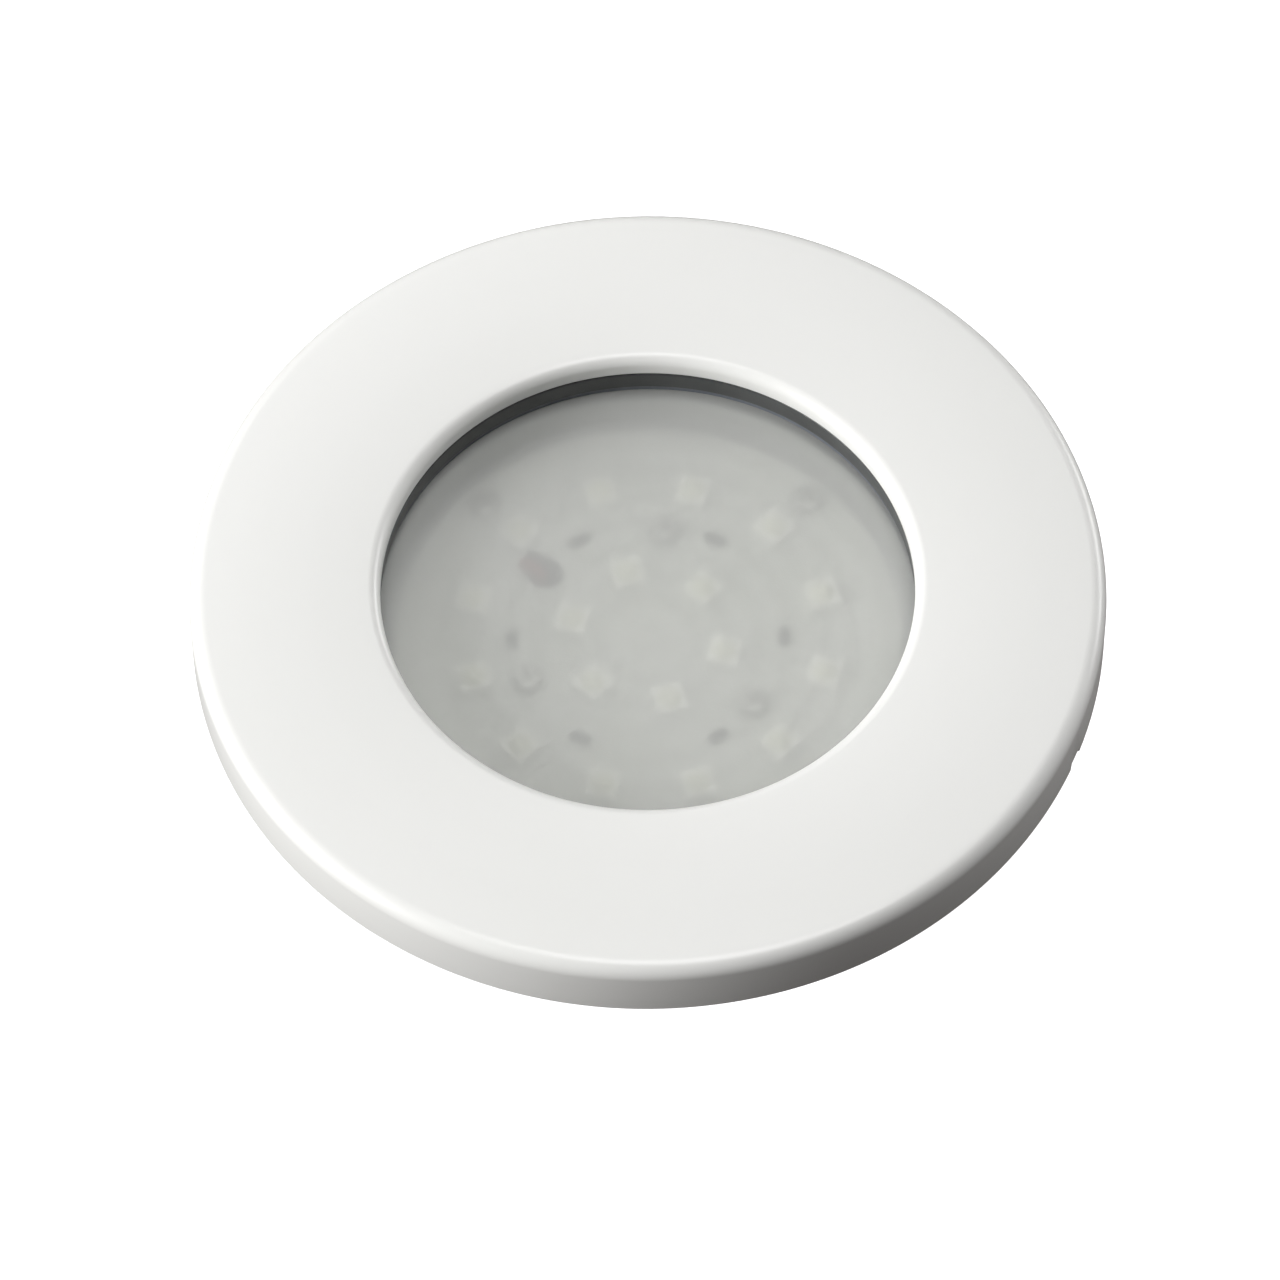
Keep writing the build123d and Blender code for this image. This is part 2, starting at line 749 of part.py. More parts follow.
def terminal_block():
    """Two-way screw terminal for the supply cable."""
    top = DRIVER_TOP + TERMINAL_HEIGHT
    body = block(TERMINAL_LENGTH, TERMINAL_WIDTH, DRIVER_TOP, top)
    body = chamfer(body.edges().group_by(Axis.Z)[-1].sort_by(Axis.X)[0], TERMINAL_CHAMFER)
    entry = Rot(0, 90, 0) * Cylinder(TERMINAL_ENTRY_R, TERMINAL_ENTRY_DEPTH)
    well = disc(TERMINAL_WELL_R, DRIVER_TOP + TERMINAL_WELL_LOW, top + 1)
    for side in (-1, 1):
        y = side * TERMINAL_PITCH / 2
        body -= Pos(TERMINAL_ENTRY_X, y, DRIVER_TOP + TERMINAL_ENTRY_HEIGHT) * entry
        body -= Pos(TERMINAL_SCREW_X, y, 0) * well
    return terminal_place() * body


def terminal_screws():
    """Slotted screws sunk in the terminal block."""
    low = DRIVER_TOP + TERMINAL_WELL_LOW
    top = low + TERMINAL_SCREW_HEIGHT
    slot = block(3 * TERMINAL_SCREW_R, TERMINAL_SLOT_WIDTH, top - TERMINAL_SLOT_DEPTH, top + 1)
    screw = disc(TERMINAL_SCREW_R, low, top) - slot
    places = [Pos(TERMINAL_SCREW_X, side * TERMINAL_PITCH / 2, 0) for side in (-1, 1)]
    return together(terminal_place() * place * screw for place in places)


def gland_body():
    """Gland stub through the well's floor, its hexagon and the outer threaded skirt."""
    stub = turned(
        [
            (GLAND_BORE_R, GLAND_TOP, 0),
            (GLAND_BORE_R, POCKET_TOP, 0),
            (POCKET_R, POCKET_TOP, 0),
            (POCKET_R, GLAND_LOW, 0),
            (GLAND_OUT_R, GLAND_LOW, 0.6),
            (GLAND_OUT_R, GLAND_HEX_LOW, 0),
            (GLAND_STUB_R, GLAND_HEX_LOW, 0),
            (GLAND_STUB_R, GLAND_TOP, 0.6),
        ]
    )
    collar = hexagon(HEX_FLATS, GLAND_HEX_LOW, GLAND_HEX_TOP)
    collar -= disc(GLAND_STUB_R - 1, GLAND_HEX_LOW - 1, GLAND_HEX_TOP + 1)
    return stub + collar


def gland_washer():
    """Flat rubber washer under the gland's hexagon."""
    return ring(GLAND_STUB_R + THREAD_GAP, WASHER_R, GLAND_HEX_TOP, WELL_FLOOR_OUT_Z)


def gland_locknut():
    nut = hexagon(HEX_FLATS, WELL_FLOOR_IN_Z, LOCKNUT_TOP)
    return nut - disc(GLAND_STUB_R + THREAD_GAP, WELL_FLOOR_IN_Z - 1, LOCKNUT_TOP + 1)


def gland_seal():
    """Rubber sleeve that is squeezed onto the cable."""
    return ring(CABLE_R, SEAL_R, GLAND_LOW, POCKET_TOP)


def gland_claw():
    """Plastic cage with slits, which closes round the seal's end."""
    cage = turned(
        [
            (CLAW_BORE_R, GLAND_LOW, 0),
            (CLAW_BORE_R, CLAW_LOW, 0),
            (SEAL_R - 0.6, CLAW_LOW, 0),
            (SEAL_R, CLAW_LOW + CLAW_CHAMFER, 0),
            (SEAL_R, GLAND_LOW, 0),
        ]
    )
    slit_length = SEAL_R - CLAW_BORE_R + 1.4
    slit = block(slit_length, CLAW_SLIT_WIDTH, CLAW_LOW - 1, CLAW_SLIT_TOP)
    return cut_all(cage, slit, around((CLAW_BORE_R + SEAL_R) / 2, CLAW_SLITS))


def gland_nut():
    """Dome nut that squeezes the claw and the seal onto the cable."""
    thread_r = GLAND_OUT_R + THREAD_GAP
    dome = turned(
        [
            (0, NUT_HEX_LOW + OVERLAP, 0),
            (NUT_DOME_R, NUT_HEX_LOW + OVERLAP, 0),
            (NUT_DOME_R, NUT_HEX_LOW, 0),
            (NUT_DOME_TIP_R, NUT_LOW, 1.5),
            (0, NUT_LOW, 0),
        ]
    )
    bore = turned(
        [
            (0, NUT_TOP + 1, 0),
            (thread_r, NUT_TOP + 1, 0),
            (thread_r, NUT_THREAD_LOW, 0),
            (NUT_SHOULDER_R, NUT_SHOULDER_Z, 0),
            (GLAND_BORE_R, NUT_SHOULDER_Z, 0),
            (GLAND_BORE_R, NUT_LOW - 1, 0),
            (0, NUT_LOW - 1, 0),
        ]
    )
    return hexagon(HEX_FLATS, NUT_HEX_LOW, NUT_TOP) + dome - bore


PARTS = [
    bezel,
    bezel_grip_ring,
    wall_gasket,
    flange,
    barrel,
    rear_cover,
    rear_feet,
    clamp_ring,
    clamp_screws,
    screw_inserts,
    lens,
    lens_gasket,
    led_board,
    led_packages,
    led_windows,
    led_resistors,
    led_board_screws,
    thermal_pad,
    heat_spreader,
    spreader_screws,
    led_lead_red,
    led_lead_black,
    driver_board,
    board_standoffs,
    driver_screws,
    capacitors,
    inductors,
    rectifier,
    driver_chips,
    terminal_block,
    terminal_screws,
    gland_body,
    gland_washer,
    gland_locknut,
    gland_seal,
    gland_claw,
    gland_nut,
]

os.makedirs("parts", exist_ok=True)
for part in PARTS:
    export_step(part(), f"parts/{part.__name__}.step")
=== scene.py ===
"""Underwater pool light: looks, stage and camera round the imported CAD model. Metres throughout."""

import json
import math

import bmesh
import bpy
from mathutils import Euler, Matrix, Vector


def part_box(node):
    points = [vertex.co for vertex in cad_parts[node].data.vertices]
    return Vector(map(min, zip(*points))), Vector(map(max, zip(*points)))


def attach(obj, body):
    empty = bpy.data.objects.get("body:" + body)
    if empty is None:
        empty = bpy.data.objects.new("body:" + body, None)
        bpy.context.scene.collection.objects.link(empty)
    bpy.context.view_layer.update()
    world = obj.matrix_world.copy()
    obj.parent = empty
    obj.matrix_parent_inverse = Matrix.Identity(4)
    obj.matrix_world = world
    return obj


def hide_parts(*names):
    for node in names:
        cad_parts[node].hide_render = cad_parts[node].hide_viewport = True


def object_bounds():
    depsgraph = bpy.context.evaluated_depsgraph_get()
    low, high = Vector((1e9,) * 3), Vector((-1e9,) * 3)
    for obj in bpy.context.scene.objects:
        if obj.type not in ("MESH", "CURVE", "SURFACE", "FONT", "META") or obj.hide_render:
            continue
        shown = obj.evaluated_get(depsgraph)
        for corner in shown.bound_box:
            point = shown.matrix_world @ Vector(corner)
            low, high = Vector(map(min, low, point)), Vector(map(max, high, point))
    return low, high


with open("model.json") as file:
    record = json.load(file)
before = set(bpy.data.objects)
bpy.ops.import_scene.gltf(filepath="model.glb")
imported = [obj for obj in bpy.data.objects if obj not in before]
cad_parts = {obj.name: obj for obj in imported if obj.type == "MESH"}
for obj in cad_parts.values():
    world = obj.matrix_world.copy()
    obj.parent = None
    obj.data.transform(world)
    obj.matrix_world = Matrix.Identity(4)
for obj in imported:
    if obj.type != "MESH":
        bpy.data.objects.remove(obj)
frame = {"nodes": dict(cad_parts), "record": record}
cad_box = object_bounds()

MM = 0.001
scene = bpy.context.scene

# Camera: distance, elevation and aim point that frame the lamp as seen from above and in front
CAMERA_DISTANCE = 1200 * MM
CAMERA_ELEVATION = math.radians(56.58)
CAMERA_ROLL = math.radians(-0.76)
CAMERA_LENS_MM = 206.55
AIM = Vector((-1.37, -7.78, 5.0)) * MM

# Stage
FLOOR_HALF = 4.0
FLOOR_GAP = 0.2 * MM
FLOOR_GLOW = 1.1
TABLE_LIGHT = (0.128, 0.119, 0.115)
ROOM_LIGHT = (0.07, 0.07, 0.075)

# Soft lights: name, turn from the near side in degrees, elevation, size, watts
LIGHT_DISTANCE = 2.6
LIGHTS = [
    ("left_light", -77, 18, (1.5, 1.5), 74),
    ("right_light", 127, 12, (1.4, 0.7), 24),
    ("top_light", 60, 86, (1.4, 1.4), 32),
    ("far_light", -160, 42, (1.4, 1.4), 12),
    ("skirt_light", -80, 2, (1.4, 0.5), 15),
]

# The brightest a single sample may be, which keeps bright specks out of the renders
DIRECT_CLAMP = 3.0
INDIRECT_CLAMP = 1.5

# Meshes: steps of a full turn and of a rounding, and the angle from which an edge looks sharp
TURN_STEPS = 288
ARC_STEPS = 8
SHARP_ANGLE = math.radians(35)

# Face ring, as in the CAD model
FACE_THICKNESS = 3.0 * MM
EDGE_ROUND = 2.7 * MM
OPENING_ROUND = 2.0 * MM
LIP_R = 46.0 * MM
LIP_LOW = 7.4 * MM
COLLAR_IN_R = 69.3 * MM
COLLAR_OUT_R = 71.3 * MM
COLLAR_LOW = 0.3 * MM
SKIRT_IN_R = 72.7 * MM
NOTCH_ANGLE = math.radians(-23.0)
NOTCH_WIDTH = 3.5 * MM
NOTCH_HEIGHT = 1.8 * MM
NOTCH_FADE = 3.0 * MM
NOTCH_RAMP = math.radians(0.25)
RIB_WIDTH = 1.4 * MM
RIB_LOW = 7.7 * MM
FACE_RIBS = 12
WEB_LOW = 2.0 * MM
SKIRT_WEBS = 24
SINK = 0.3 * MM

# LED domes
DOME_HEIGHT = 1.2 * MM
DOME_STEPS = 40
DOME_RINGS = 8

# The lens is etched on its front, and clear from a little way in
ETCH_DEPTH = 0.2 * MM
ETCH_FADE = 0.1 * MM
ETCHED_TRANSMISSION = 0.62

# Roughness of the two large surfaces. Denoised renders show patches where a range crosses about
# 0.27, so each keeps to one side of it.
LENS_ROUGHNESS = (0.235, 0.268)
PLASTIC_ROUGHNESS = (0.278, 0.302)


# ---------------------------------------------------------------- mesh helpers


def rounded(corners):
    """Closed outline of (radius, height) points from (radius, height, rounding) corners."""
    outline = []
    for i, (r, z, rounding) in enumerate(corners):
        here = Vector((r, z))
        if rounding == 0:
            outline.append(here)
            continue
        back = (Vector(corners[i - 1][:2]) - here).normalized()
        ahead = (Vector(corners[(i + 1) % len(corners)][:2]) - here).normalized()
        half = back.angle(ahead) / 2
        reach = rounding / math.tan(half)
        start, end = here + back * reach, here + ahead * reach
        centre = here + (back + ahead).normalized() * (rounding / math.sin(half))
        sweep = (start - centre).angle_signed(end - centre)
        for k in range(ARC_STEPS + 1):
            turn = Matrix.Rotation(-sweep * k / ARC_STEPS, 2)
            outline.append(centre + turn @ (start - centre))
    return outline


def even_turn(steps=TURN_STEPS):
    """Evenly spaced angles of one full turn."""
    return [2 * math.pi * k / steps for k in range(steps)]


def turned(name, corners, angles, shape):
    """Mesh turned about Z from a closed outline. shape(angle, r, z) may move each point."""
    outline = rounded(corners)
    bm = bmesh.new()
    rings = []
    for angle in angles:
        ring = []
        for point in outline:
            r, z = shape(angle, point.x, point.y)
            ring.append(bm.verts.new((r * math.cos(angle), r * math.sin(angle), z)))
        rings.append(ring)
    for i, ring in enumerate(rings):
        following = rings[(i + 1) % len(rings)]
        for j in range(len(outline)):
            k = (j + 1) % len(outline)
            bm.faces.new((ring[j], following[j], following[k], ring[k]))
    bmesh.ops.remove_doubles(bm, verts=bm.verts, dist=1e-6)
    bmesh.ops.dissolve_degenerate(bm, dist=1e-7, edges=bm.edges)
    bmesh.ops.recalc_face_normals(bm, faces=bm.faces)
    return finished(name, bm)


def smooth(mesh):
    """Smooth shading apart from the sharp edges."""
    for polygon in mesh.polygons:
        polygon.use_smooth = True
    mesh.set_sharp_from_angle(angle=SHARP_ANGLE)


def finished(name, bm):
    """Object from a bmesh, smooth apart from its sharp edges."""
    mesh = bpy.data.meshes.new(name)
    bm.to_mesh(mesh)
    bm.free()
    obj = bpy.data.objects.new(name, mesh)
    scene.collection.objects.link(obj)
    smooth(mesh)
    return obj


# ---------------------------------------------------------------- material helpers


def new_material(name, **shader_values):
    """Principled material with its inputs set by name, and the tree's nodes for detail."""
    material = bpy.data.materials.new(name)
    material.use_nodes = True
    shader = material.node_tree.nodes["Principled BSDF"]
    for key, value in shader_values.items():
        shader.inputs[key.replace("_", " ")].default_value = value
    return material, material.node_tree, shader


def object_point(tree):
    """Place on the piece, in metres."""
    return tree.nodes.new("ShaderNodeTexCoord").outputs["Object"]


def noise(tree, scale, detail=3.0, roughness=0.5):
    """Noise over the piece, with scale in features per metre."""
    node = tree.nodes.new("ShaderNodeTexNoise")
    node.inputs["Scale"].default_value = scale
    node.inputs["Detail"].default_value = detail
    node.inputs["Roughness"].default_value = roughness
    tree.links.new(object_point(tree), node.inputs["Vector"])
    return node.outputs["Fac"]


def spread(tree, factor, low, high):
    """A factor of 0 to 1 mapped to low to high."""
    node = tree.nodes.new("ShaderNodeMapRange")
    node.inputs["To Min"].default_value = low
    node.inputs["To Max"].default_value = high
    tree.links.new(factor, node.inputs["Value"])
    return node.outputs["Result"]


def tint(tree, factor, dark, light, low=0.3, high=0.7):
    """Colour that goes from dark to light as the factor goes from low to high."""
    node = tree.nodes.new("ShaderNodeValToRGB")
    node.color_ramp.elements[0].position = low
    node.color_ramp.elements[0].color = (*dark, 1)
    node.color_ramp.elements[1].position = high
    node.color_ramp.elements[1].color = (*light, 1)
    tree.links.new(factor, node.inputs["Fac"])
    return node.outputs["Color"]


def bump(tree, shader, height, distance):
    """Relief on the surface, with the distance in metres that the height of 0 to 1 spans."""
    node = tree.nodes.new("ShaderNodeBump")
    node.inputs["Distance"].default_value = distance
    tree.links.new(height, node.inputs["Height"])
    tree.links.new(node.outputs["Normal"], shader.inputs["Normal"])


def grained(name, dark, light, rough=(0.4, 0.5), grain=900, depth=0.03 * MM, **values):
    """Moulded or cast surface: slight mottling, uneven gloss and a fine grain."""
    material, tree, shader = new_material(name, **values)
    cloud = noise(tree, 60)
    tree.links.new(tint(tree, cloud, dark, light), shader.inputs["Base Color"])
    tree.links.new(spread(tree, noise(tree, 180), *rough), shader.inputs["Roughness"])
    bump(tree, shader, noise(tree, grain, 2.0), depth)
    return material


# ---------------------------------------------------------------- camera and stage


def place_camera():
    """Long lens from above and in front, rolled slightly."""
    camera_data = bpy.data.cameras.new("camera")
    camera = bpy.data.objects.new("camera", camera_data)
    scene.collection.objects.link(camera)
    camera_data.lens = CAMERA_LENS_MM
    camera_data.sensor_width = 36
    camera_data.clip_start = 0.05
    camera_data.clip_end = 50
    away = Vector((0, -math.cos(CAMERA_ELEVATION), math.sin(CAMERA_ELEVATION)))
    camera.location = AIM + away * CAMERA_DISTANCE
    aimed = away.to_track_quat("Z", "Y").to_matrix()
    rolled = Euler((0, 0, CAMERA_ROLL)).to_matrix()
    camera.rotation_euler = (aimed @ rolled).to_euler()
    scene.camera = camera


def make_floor():
    """White paper that lights itself, so that it takes no shadow. It is clear from below."""
    low = cad_box[0][2]
    bm = bmesh.new()
    bmesh.ops.create_grid(bm, x_segments=2, y_segments=2, size=FLOOR_HALF)
    floor = finished("floor", bm)
    floor.location.z = low - FLOOR_GAP
    floor.visible_diffuse = False
    floor.visible_glossy = False
    material, tree, shader = new_material(
        "floor_paper", Roughness=0.9, Emission_Strength=FLOOR_GLOW
    )
    paper = tint(tree, noise(tree, 8), (0.90, 0.90, 0.90), (0.93, 0.93, 0.93))
    tree.links.new(paper, shader.inputs["Base Color"])
    tree.links.new(paper, shader.inputs["Emission Color"])
    clear = tree.nodes.new("ShaderNodeBsdfTransparent")
    side = tree.nodes.new("ShaderNodeNewGeometry")
    mix = tree.nodes.new("ShaderNodeMixShader")
    tree.links.new(side.outputs["Backfacing"], mix.inputs["Fac"])
    tree.links.new(shader.outputs["BSDF"], mix.inputs[1])
    tree.links.new(clear.outputs["BSDF"], mix.inputs[2])
    tree.links.new(mix.outputs["Shader"], tree.nodes["Material Output"].inputs["Surface"])
    floor.data.materials.append(material)


def area_light(name, turn, elevation, size, watts):
    """Soft light aimed at the lamp. Its turn is from the near side, anticlockwise from above."""
    data = bpy.data.lights.new(name, "AREA")
    data.shape = "RECTANGLE"
    data.size, data.size_y = size
    data.energy = watts
    light = bpy.data.objects.new(name, data)
    scene.collection.objects.link(light)
    turn, elevation = math.radians(turn), math.radians(elevation)
    away = Vector(
        (
            math.cos(elevation) * math.sin(turn),
            -math.cos(elevation) * math.cos(turn),
            math.sin(elevation),
        )
    )
    light.location = away * LIGHT_DISTANCE
    light.rotation_euler = away.to_track_quat("Z", "Y").to_euler()


def make_world():
    """Dim room over a bright table. Seen directly it is as white as the floor."""
    world = bpy.data.worlds.new("studio")
    world.use_nodes = True
    tree = world.node_tree
    split = tree.nodes.new("ShaderNodeSeparateXYZ")
    direction = tree.nodes.new("ShaderNodeTexCoord").outputs["Generated"]
    tree.links.new(direction, split.inputs["Vector"])
    light = tint(tree, split.outputs["Z"], TABLE_LIGHT, ROOM_LIGHT, 0.0, 0.12)
    mix = tree.nodes.new("ShaderNodeMix")
    mix.data_type = "RGBA"
    ray = tree.nodes.new("ShaderNodeLightPath")
    tree.links.new(ray.outputs["Is Camera Ray"], mix.inputs["Factor"])
    tree.links.new(light, mix.inputs["A"])
    mix.inputs["B"].default_value = (1, 1, 1, 1)
    tree.links.new(mix.outputs["Result"], tree.nodes["Background"].inputs["Color"])
    scene.world = world
    scene.view_settings.view_transform = "Standard"
    scene.cycles.sample_clamp_indirect = INDIRECT_CLAMP
    scene.cycles.sample_clamp_direct = DIRECT_CLAMP


# ---------------------------------------------------------------- materials, one function each


def white_plastic():
    """Glossy moulded ABS: warm white, faint mottling and a trace of orange peel."""
    material, tree, shader = new_material("white_plastic", Specular_IOR_Level=0.5)
    warm = tint(tree, noise(tree, 16, 1.0), (0.822, 0.824, 0.797), (0.838, 0.838, 0.815), 0.2, 0.8)
    tree.links.new(warm, shader.inputs["Base Color"])
    gloss = spread(tree, noise(tree, 40, 2.0), *PLASTIC_ROUGHNESS)
    tree.links.new(gloss, shader.inputs["Roughness"])
    bump(tree, shader, noise(tree, 240, 1.5), 0.012 * MM)
    return material


def let_lamps_through(tree, shader, colour):
    """Lamps reach what is behind the glass, dimmed by its colour."""
    clear = tree.nodes.new("ShaderNodeBsdfTransparent")
    clear.inputs["Color"].default_value = (*colour, 1)
    mix = tree.nodes.new("ShaderNodeMixShader")
    ray = tree.nodes.new("ShaderNodeLightPath")
    tree.links.new(ray.outputs["Is Shadow Ray"], mix.inputs["Fac"])
    tree.links.new(shader.outputs["BSDF"], mix.inputs[1])
    tree.links.new(clear.outputs["BSDF"], mix.inputs[2])
    tree.links.new(mix.outputs["Shader"], tree.nodes["Material Output"].inputs["Surface"])


def frosted_glass():
    """Glass etched on its front: milky there, clear to the LEDs behind, with fine grain."""
    material, tree, shader = new_material("frosted_glass", IOR=1.48, Specular_IOR_Level=0.35)
    milk = tint(tree, noise(tree, 45, 4.0), (0.935, 0.945, 0.905), (0.965, 0.97, 0.94))
    tree.links.new(milk, shader.inputs["Base Color"])
    frost = spread(tree, noise(tree, 400), *LENS_ROUGHNESS)
    tree.links.new(frost, shader.inputs["Roughness"])
    bump(tree, shader, noise(tree, 3500, 2.0), 0.01 * MM)
    split = tree.nodes.new("ShaderNodeSeparateXYZ")
    tree.links.new(object_point(tree), split.inputs["Vector"])
    etched = tree.nodes.new("ShaderNodeMapRange")
    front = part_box("lens")[1].z
    etched.inputs["From Min"].default_value = front - ETCH_DEPTH - ETCH_FADE
    etched.inputs["From Max"].default_value = front - ETCH_DEPTH
    etched.inputs["To Min"].default_value = 1.0
    etched.inputs["To Max"].default_value = ETCHED_TRANSMISSION
    tree.links.new(split.outputs["Z"], etched.inputs["Value"])
    tree.links.new(etched.outputs["Result"], shader.inputs["Transmission Weight"])
    let_lamps_through(tree, shader, (0.46, 0.46, 0.45))
    return material


def rubber(name, dark, light):
    """Moulded rubber: dull, with a faint bloom."""
    return grained(name, dark, light, rough=(0.62, 0.78), grain=2600, depth=0.02 * MM)


def black_rubber():
    return rubber("black_rubber", (0.016, 0.016, 0.017), (0.032, 0.032, 0.034))


def grey_rubber():
    return rubber("grey_rubber", (0.15, 0.165, 0.19), (0.18, 0.195, 0.22))


def thermal_grey():
    return rubber("thermal_grey", (0.36, 0.38, 0.42), (0.45, 0.47, 0.50))


def housing_grey():
    """Glass-filled polymer with a fine spark-eroded texture."""
    return grained(
        "housing_grey", (0.40, 0.41, 0.42), (0.46, 0.47, 0.48),
        rough=(0.42, 0.56), grain=1900, depth=0.035 * MM,
    )


def clamp_black():
    """Satin black moulding with the faint mottle of a filled polymer."""
    return grained(
        "clamp_black", (0.056, 0.059, 0.060), (0.074, 0.077, 0.078),
        rough=(0.32, 0.45), grain=1500, depth=0.02 * MM,
    )


def metal(name, dark, light, rough, turning=0.0):
    """Bare metal with uneven gloss; turning adds concentric machining marks about Z."""
    material, tree, shader = new_material(name, Metallic=1.0)
    tree.links.new(tint(tree, noise(tree, 130, 4.0), dark, light), shader.inputs["Base Color"])
    tree.links.new(spread(tree, noise(tree, 300), *rough), shader.inputs["Roughness"])
    if turning:
        rings = tree.nodes.new("ShaderNodeTexWave")
        rings.wave_type = "RINGS"
        rings.rings_direction = "Z"
        rings.inputs["Scale"].default_value = turning
        rings.inputs["Distortion"].default_value = 1.5
        tree.links.new(object_point(tree), rings.inputs["Vector"])
        bump(tree, shader, rings.outputs["Fac"], 0.01 * MM)
    else:
        bump(tree, shader, noise(tree, 2400, 2.0), 0.006 * MM)
    return material


def stainless():
    return metal("stainless", (0.50, 0.50, 0.49), (0.63, 0.63, 0.61), (0.22, 0.36))


def brass():
    return metal("brass", (0.62, 0.43, 0.17), (0.76, 0.56, 0.26), (0.25, 0.4))


def aluminium():
    return metal("aluminium", (0.66, 0.67, 0.68), (0.78, 0.79, 0.80), (0.3, 0.42), turning=700)


def nickel_brass():
    return metal("nickel_brass", (0.56, 0.54, 0.50), (0.70, 0.68, 0.63), (0.18, 0.32))


def circuit_board(name, mask_dark, mask_light, trace, gap):
    """Solder mask over copper: ring-shaped traces show as a slight change of colour and height."""
    material, tree, shader = new_material(name, Roughness=0.32, Coat_Weight=0.25)
    rings = tree.nodes.new("ShaderNodeTexWave")
    rings.wave_type = "RINGS"
    rings.rings_direction = "Z"
    rings.inputs["Scale"].default_value = gap
    rings.inputs["Distortion"].default_value = 2.0
    rings.inputs["Detail Scale"].default_value = 60
    tree.links.new(object_point(tree), rings.inputs["Vector"])
    mask = tint(tree, noise(tree, 90), mask_dark, mask_light)
    edge = tint(tree, rings.outputs["Fac"], (0, 0, 0), (1, 1, 1), 0.80, 0.86)
    mix = tree.nodes.new("ShaderNodeMix")
    mix.data_type = "RGBA"
    tree.links.new(edge, mix.inputs["Factor"])
    tree.links.new(mask, mix.inputs["A"])
    mix.inputs["B"].default_value = (*trace, 1)
    tree.links.new(mix.outputs["Result"], shader.inputs["Base Color"])
    bump(tree, shader, edge, 0.03 * MM)
    return material


def led_board_white():
    return circuit_board(
        "led_board_white", (0.54, 0.55, 0.535), (0.59, 0.60, 0.58), (0.52, 0.53, 0.51), 60
    )


def board_green():
    return circuit_board(
        "board_green", (0.012, 0.12, 0.045), (0.016, 0.15, 0.06), (0.03, 0.22, 0.08), 160
    )


def led_white():
    return grained("led_white", (0.92, 0.92, 0.90), (0.95, 0.95, 0.94), rough=(0.3, 0.4))


def led_phosphor():
    """Clear resin over yellow phosphor grains."""
    material, tree, shader = new_material("led_phosphor", Roughness=0.12, Coat_Weight=0.8)
    grains = tint(tree, noise(tree, 4200, 2.0), (0.72, 0.73, 0.64), (0.81, 0.81, 0.71))
    tree.links.new(grains, shader.inputs["Base Color"])
    bump(tree, shader, noise(tree, 900), 0.02 * MM)
    return material


def chip_black():
    return grained("chip_black", (0.018, 0.018, 0.019), (0.034, 0.034, 0.034), grain=5200)


def wire_red():
    return grained("wire_red", (0.18, 0.028, 0.025), (0.24, 0.036, 0.03), rough=(0.32, 0.4))


def wire_black():
    return grained("wire_black", (0.015, 0.015, 0.016), (0.03, 0.03, 0.03), rough=(0.32, 0.4))


def capacitor_sleeve():
    return grained("capacitor_sleeve", (0.02, 0.025, 0.07), (0.035, 0.04, 0.10), rough=(0.2, 0.3))


def ferrite():
    return grained("ferrite", (0.05, 0.048, 0.046), (0.085, 0.08, 0.075), grain=3800)


def terminal_green():
    return grained("terminal_green", (0.035, 0.24, 0.08), (0.05, 0.30, 0.11), rough=(0.35, 0.5))


def claw_nylon():
    return grained("claw_nylon", (0.045, 0.045, 0.046), (0.07, 0.07, 0.07), rough=(0.38, 0.5))


SLOT_MATERIALS = {
    "bezel_white": white_plastic,
    "black_rubber": black_rubber,
    "housing_grey": housing_grey,
    "clamp_black": clamp_black,
    "stainless": stainless,
    "brass": brass,
    "frosted_glass": frosted_glass,
    "grey_rubber": grey_rubber,
    "led_board_white": led_board_white,
    "led_white": led_white,
    "led_phosphor": led_phosphor,
    "chip_black": chip_black,
    "thermal_grey": thermal_grey,
    "aluminium": aluminium,
    "wire_red": wire_red,
    "wire_black": wire_black,
    "board_green": board_green,
    "capacitor_sleeve": capacitor_sleeve,
    "ferrite": ferrite,
    "terminal_green": terminal_green,
    "nickel_brass": nickel_brass,
    "claw_nylon": claw_nylon,
}
materials = {slot: make() for slot, make in SLOT_MATERIALS.items()}


def paint_cad_nodes():
    """Each CAD node gets the material of its slot."""
    for part in frame["record"]["subparts"]:
        mesh = frame["nodes"][part["node"]].data
        mesh.materials.clear()
        mesh.materials.append(materials[part["material_slot"]])


# ---------------------------------------------------------------- pieces


def cad_radii(node):
    """Smallest and largest distance of a CAD node's points from the Z axis."""
    radii = [math.hypot(v.co.x, v.co.y) for v in frame["nodes"][node].data.vertices]
    return min(radii), max(radii)


def add_radial_block(bm, r_in, r_out, low, top, width, angle):
    """Closed box that lies along a radius."""
    cube = bmesh.ops.create_cube(bm, size=1)["verts"]
    size = Matrix.Diagonal((r_out - r_in, width, top - low, 1))
    place = Matrix.Translation(((r_in + r_out) / 2, 0, (low + top) / 2))
    bmesh.ops.transform(bm, matrix=Matrix.Rotation(angle, 4, "Z") @ place @ size, verts=cube)


def notch_turn(notch_half):
    """Even steps round the ring, with extra ones at the sides of the pry notch."""
    reaches = (notch_half, notch_half + NOTCH_RAMP)
    sides = [NOTCH_ANGLE + side * reach for side in (-1, 1) for reach in reaches]
    return sorted(a % (2 * math.pi) for a in even_turn() + sides)


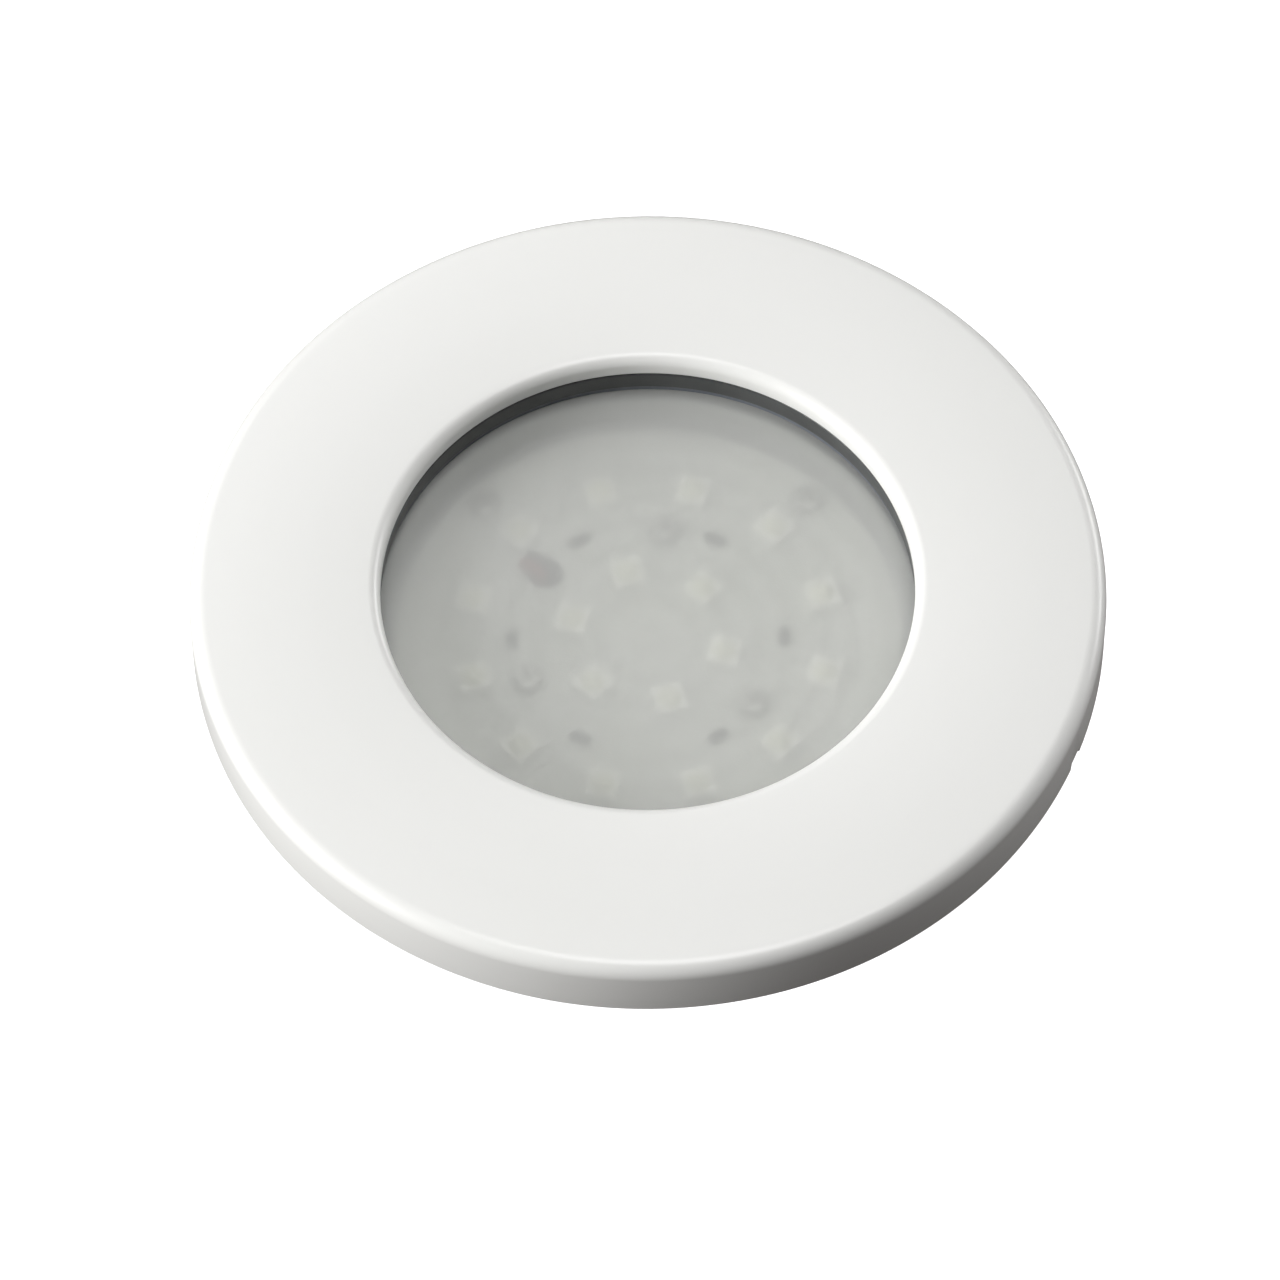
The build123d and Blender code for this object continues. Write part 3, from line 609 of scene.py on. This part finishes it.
def stiffeners(face_low):
    """Ribs under the face, and webs between the collar and the skirt, each sunk into its walls."""
    bm = bmesh.new()
    top = face_low + SINK
    for k in range(FACE_RIBS):
        angle = 2 * math.pi * k / FACE_RIBS
        add_radial_block(
            bm, LIP_R - SINK, COLLAR_IN_R + SINK, RIB_LOW, top, RIB_WIDTH, angle
        )
    for k in range(SKIRT_WEBS):
        angle = 2 * math.pi * k / SKIRT_WEBS
        add_radial_block(
            bm, COLLAR_OUT_R - SINK, SKIRT_IN_R + SINK, WEB_LOW, top, RIB_WIDTH, angle
        )
    return finished("bezel_stiffeners", bm)


def fuse(piece, other):
    """The other object becomes part of the piece's mesh, as one closed surface."""
    union = piece.modifiers.new("union", "BOOLEAN")
    union.operation = "UNION"
    union.solver = "EXACT"
    union.object = other
    depsgraph = bpy.context.evaluated_depsgraph_get()
    mesh = bpy.data.meshes.new_from_object(piece.evaluated_get(depsgraph))
    piece.modifiers.clear()
    piece.data = mesh
    bpy.data.objects.remove(other)
    smooth(mesh)


def solid_boxes(node):
    """Lowest and highest corners of each separate solid of a CAD node."""
    bm = bmesh.new()
    bm.from_mesh(frame["nodes"][node].data)
    bmesh.ops.remove_doubles(bm, verts=bm.verts, dist=0.01 * MM)
    seen = set()
    boxes = []
    for start in bm.verts:
        if start in seen:
            continue
        seen.add(start)
        solid = [start]
        # The list grows while it is read, until it holds every linked vertex
        for vert in solid:
            linked = [edge.other_vert(vert) for edge in vert.link_edges]
            fresh = [other for other in linked if other not in seen]
            seen.update(fresh)
            solid.extend(fresh)
        points = [vert.co.copy() for vert in solid]
        low = Vector([min(p[axis] for p in points) for axis in range(3)])
        high = Vector([max(p[axis] for p in points) for axis in range(3)])
        boxes.append((low, high))
    bm.free()
    return boxes


def add_dome(bm, middle, radius, base, rim):
    """Closed dome: a round wall from base to rim, and above it rings that close in on a crown."""
    ball_r = (radius ** 2 + DOME_HEIGHT ** 2) / (2 * DOME_HEIGHT)
    edge_tilt = math.asin(radius / ball_r)
    crown_z = rim + DOME_HEIGHT
    profile = [(radius, base)]
    for k in range(DOME_RINGS):
        tilt = edge_tilt * (1 - k / DOME_RINGS)
        profile.append((ball_r * math.sin(tilt), crown_z - ball_r * (1 - math.cos(tilt))))
    rows = []
    for r, z in profile:
        row = []
        for angle in even_turn(DOME_STEPS):
            x = middle.x + r * math.cos(angle)
            y = middle.y + r * math.sin(angle)
            row.append(bm.verts.new((x, y, z)))
        rows.append(row)
    crown = bm.verts.new((middle.x, middle.y, crown_z))
    bm.faces.new(reversed(rows[0]))
    for k in range(DOME_STEPS):
        following = (k + 1) % DOME_STEPS
        for lower, upper in zip(rows, rows[1:]):
            bm.faces.new((lower[k], lower[following], upper[following], upper[k]))
        bm.faces.new((rows[-1][k], rows[-1][following], crown))


def make_led_domes():
    """Resin domes of the LEDs, each rising from the well in its white body."""
    bm = bmesh.new()
    for low, high in solid_boxes("led_windows"):
        add_dome(bm, (low + high) / 2, (high.x - low.x) / 2, low.z, high.z)
    domes = finished("led_domes", bm)
    domes.data.materials.append(materials["led_phosphor"])
    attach(domes, "lamp")
    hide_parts("led_windows")


def make_bezel():
    """Face ring: turned shell with the pry notch, and the webs and ribs under its face."""
    opening_r, bezel_r = cad_radii("bezel")
    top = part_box("bezel")[1].z
    face_low = top - FACE_THICKNESS
    notch_half = NOTCH_WIDTH / 2 / bezel_r

    def lifted(angle, r, z):
        """The skirt's lower edge rises over the pry notch."""
        off = abs((angle - NOTCH_ANGLE + math.pi) % (2 * math.pi) - math.pi)
        if r < SKIRT_IN_R - 0.1 * MM or z > NOTCH_FADE:
            return r, z
        inside = min(max((notch_half + NOTCH_RAMP - off) / NOTCH_RAMP, 0), 1)
        return r, z + inside * NOTCH_HEIGHT * (1 - z / NOTCH_FADE)

    bezel = turned(
        "bezel_shell",
        [
            (bezel_r, 0, 0.5 * MM),
            (bezel_r, top, EDGE_ROUND),
            (opening_r, top, OPENING_ROUND),
            (opening_r, LIP_LOW, 0.5 * MM),
            (LIP_R, LIP_LOW, 0.4 * MM),
            (LIP_R, face_low, 0),
            (COLLAR_IN_R, face_low, 0),
            (COLLAR_IN_R, COLLAR_LOW, 0.6 * MM),
            (COLLAR_OUT_R, COLLAR_LOW, 0.4 * MM),
            (COLLAR_OUT_R, face_low, 0),
            (SKIRT_IN_R, face_low, 0),
            (SKIRT_IN_R, 0, 0.4 * MM),
        ],
        notch_turn(notch_half),
        lifted,
    )
    fuse(bezel, stiffeners(face_low))
    bezel.data.materials.append(materials["bezel_white"])
    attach(bezel, "face_ring")
    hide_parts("bezel")


place_camera()
make_floor()
make_world()
paint_cad_nodes()
make_bezel()
make_led_domes()
for light in LIGHTS:
    area_light(*light)
